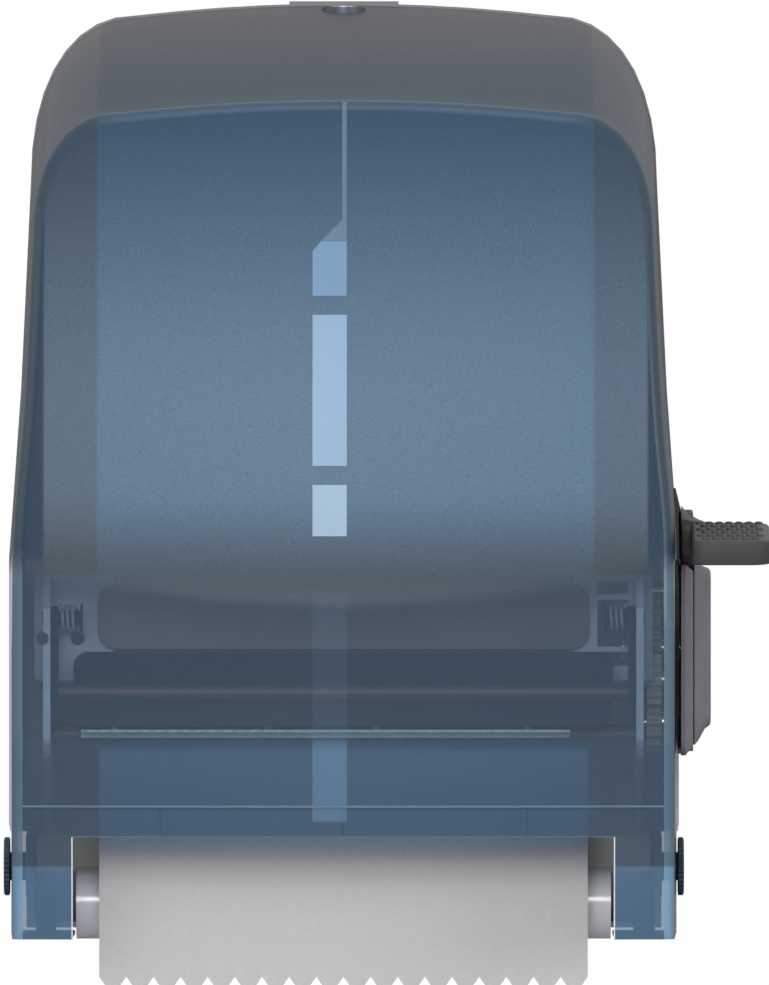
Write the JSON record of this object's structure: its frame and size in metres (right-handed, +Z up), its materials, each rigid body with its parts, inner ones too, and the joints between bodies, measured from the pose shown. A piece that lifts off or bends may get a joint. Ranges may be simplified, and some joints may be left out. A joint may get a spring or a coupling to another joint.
{
  "type": "lever paper towel dispenser",
  "caption": "Wall-mounted roll towel dispenser with a translucent hinged cover, a side lever that feeds the towel past a tear bar, and a keyed lock.",
  "frame": {"origin": "centre of the four wall slots, on the back face", "axes": "+Z up, +X to the right as the user sees the front, +Y into the wall"},
  "size_m": [0.3201, 0.2328, 0.4124],
  "materials": {
    "rear_case": "satin pale lilac-grey moulding",
    "cover": "translucent blue, frosted above and clear below",
    "knob": "dark moulded knob with a toothed rim",
    "lock": "satin",
    "lock_metal": "brushed",
    "frame": "blue satin moulding",
    "guide": "dark grey satin",
    "carrier": "dark blue-grey satin",
    "steel": "bright",
    "warm_rod": "dull bronze-grey",
    "ring": "fine grain",
    "roller_core": "satin",
    "bush": "natural acetal",
    "gear": "natural acetal",
    "lever": "dark grey, fine grain",
    "housing": "violet-grey, fine grain",
    "blade": "bright",
    "rail": "off-white",
    "apron": "glossy white",
    "core": "spiral-wound board",
    "paper": "soft towel",
    "arm": "satin",
    "hub": "satin"
  },
  "bodies": {
    "base": {"rear_case": "rear_case", "hinge_pins": "knob", "side_frame_left": "frame", "side_frame_right": "frame", "guide_panel": "guide", "guide_screws": "steel", "feed_bushes": "bush", "idler_pin": "steel", "lever_spring": "steel", "lever_housing": "housing", "housing_screws": "steel", "frame_screws": "steel", "blade_rod": "warm_rod", "tear_bar": "blade", "lower_rail": "rail", "chute": "apron", "arm_pins": "steel", "towel_sheet": "paper"},
    "cover": {"cover": "cover", "lock_sleeve": "lock"},
    "lock": {"lock_barrel": "lock_metal", "lock_cam": "lock_metal"},
    "lever": {"lever_gear": "gear", "lever_shaft": "steel", "lever_arm": "lever", "lever_paddle": "lever"},
    "idler": {"idler_gear": "gear"},
    "clutch_gear": {"feed_gear": "gear"},
    "feed": {"feed_shaft": "steel", "feed_core": "roller_core", "feed_rollers": "ring", "clutch_hub": "steel"},
    "carrier": {"pinch_carrier": "carrier", "carrier_rod": "warm_rod", "carrier_links": "carrier", "pinch_springs": "steel", "pinch_shaft": "steel"},
    "pinch": {"pinch_roller": "ring"},
    "roll": {"roll_core": "core", "towel_roll": "paper"},
    "arm_left": {"roll_arm_left": "arm", "core_hub_left": "hub"},
    "arm_right": {"roll_arm_right": "arm", "core_hub_right": "hub"}
  },
  "joints": [
    {"name": "cover_hinge", "type": "hinge", "parent": "base", "child": "cover", "pos_m": [0, -0.042, -0.167], "axis": [1, 0, 0], "range_deg": [0, 85]},
    {"name": "lock_turn", "type": "hinge", "parent": "cover", "child": "lock", "pos_m": [0, -0.044, 0.19], "axis": [0, 0, 1], "range_deg": [0, 90]},
    {"name": "lever_press", "type": "hinge", "parent": "base", "child": "lever", "pos_m": [0, -0.088, -0.075], "axis": [1, 0, 0], "range_deg": [0, 60], "stiffness_Nm_per_rad": 0.6, "springref_deg": -28.65},
    {"name": "idler_spin", "type": "hinge", "parent": "base", "child": "idler", "pos_m": [0, -0.12702, -0.10581], "axis": [1, 0, 0], "range_deg": [-206, 0]},
    {"name": "clutch_gear_spin", "type": "hinge", "parent": "base", "child": "clutch_gear", "pos_m": [0, -0.138, -0.088], "axis": [1, 0, 0], "range_deg": [0, 241]},
    {"name": "roll_spin", "type": "hinge", "parent": "base", "child": "roll", "pos_m": [0, -0.106, 0.064], "axis": [1, 0, 0], "continuous": true},
    {"name": "feed_spin", "type": "hinge", "parent": "base", "child": "feed", "pos_m": [0, -0.138, -0.088], "axis": [1, 0, 0], "continuous": true},
    {"name": "carrier_swing", "type": "hinge", "parent": "base", "child": "carrier", "pos_m": [0, -0.182, -0.062], "axis": [1, 0, 0], "range_deg": [-6, 0], "stiffness_Nm_per_rad": 0.5, "springref_deg": 5.73},
    {"name": "pinch_spin", "type": "hinge", "parent": "carrier", "child": "pinch", "pos_m": [0, -0.1701, -0.088], "axis": [1, 0, 0], "continuous": true},
    {"name": "arm_left_spread", "type": "hinge", "parent": "base", "child": "arm_left", "pos_m": [-0.1096, -0.014, 0.064], "axis": [0, 0, -1], "range_deg": [0, 7], "stiffness_Nm_per_rad": 1, "springref_deg": -5.73},
    {"name": "arm_right_spread", "type": "hinge", "parent": "base", "child": "arm_right", "pos_m": [0.1096, -0.014, 0.064], "axis": [0, 0, 1], "range_deg": [0, 7], "stiffness_Nm_per_rad": 1, "springref_deg": -5.73}
  ],
  "couplings": [
    {"joint": "idler_spin", "follows": "lever_press", "ratio": -3.4286},
    {"joint": "clutch_gear_spin", "follows": "lever_press", "ratio": 4},
    {"joint": "feed_spin", "follows": "roll_spin", "ratio": -4.2727},
    {"joint": "pinch_spin", "follows": "roll_spin", "ratio": 10.444}
  ]
}
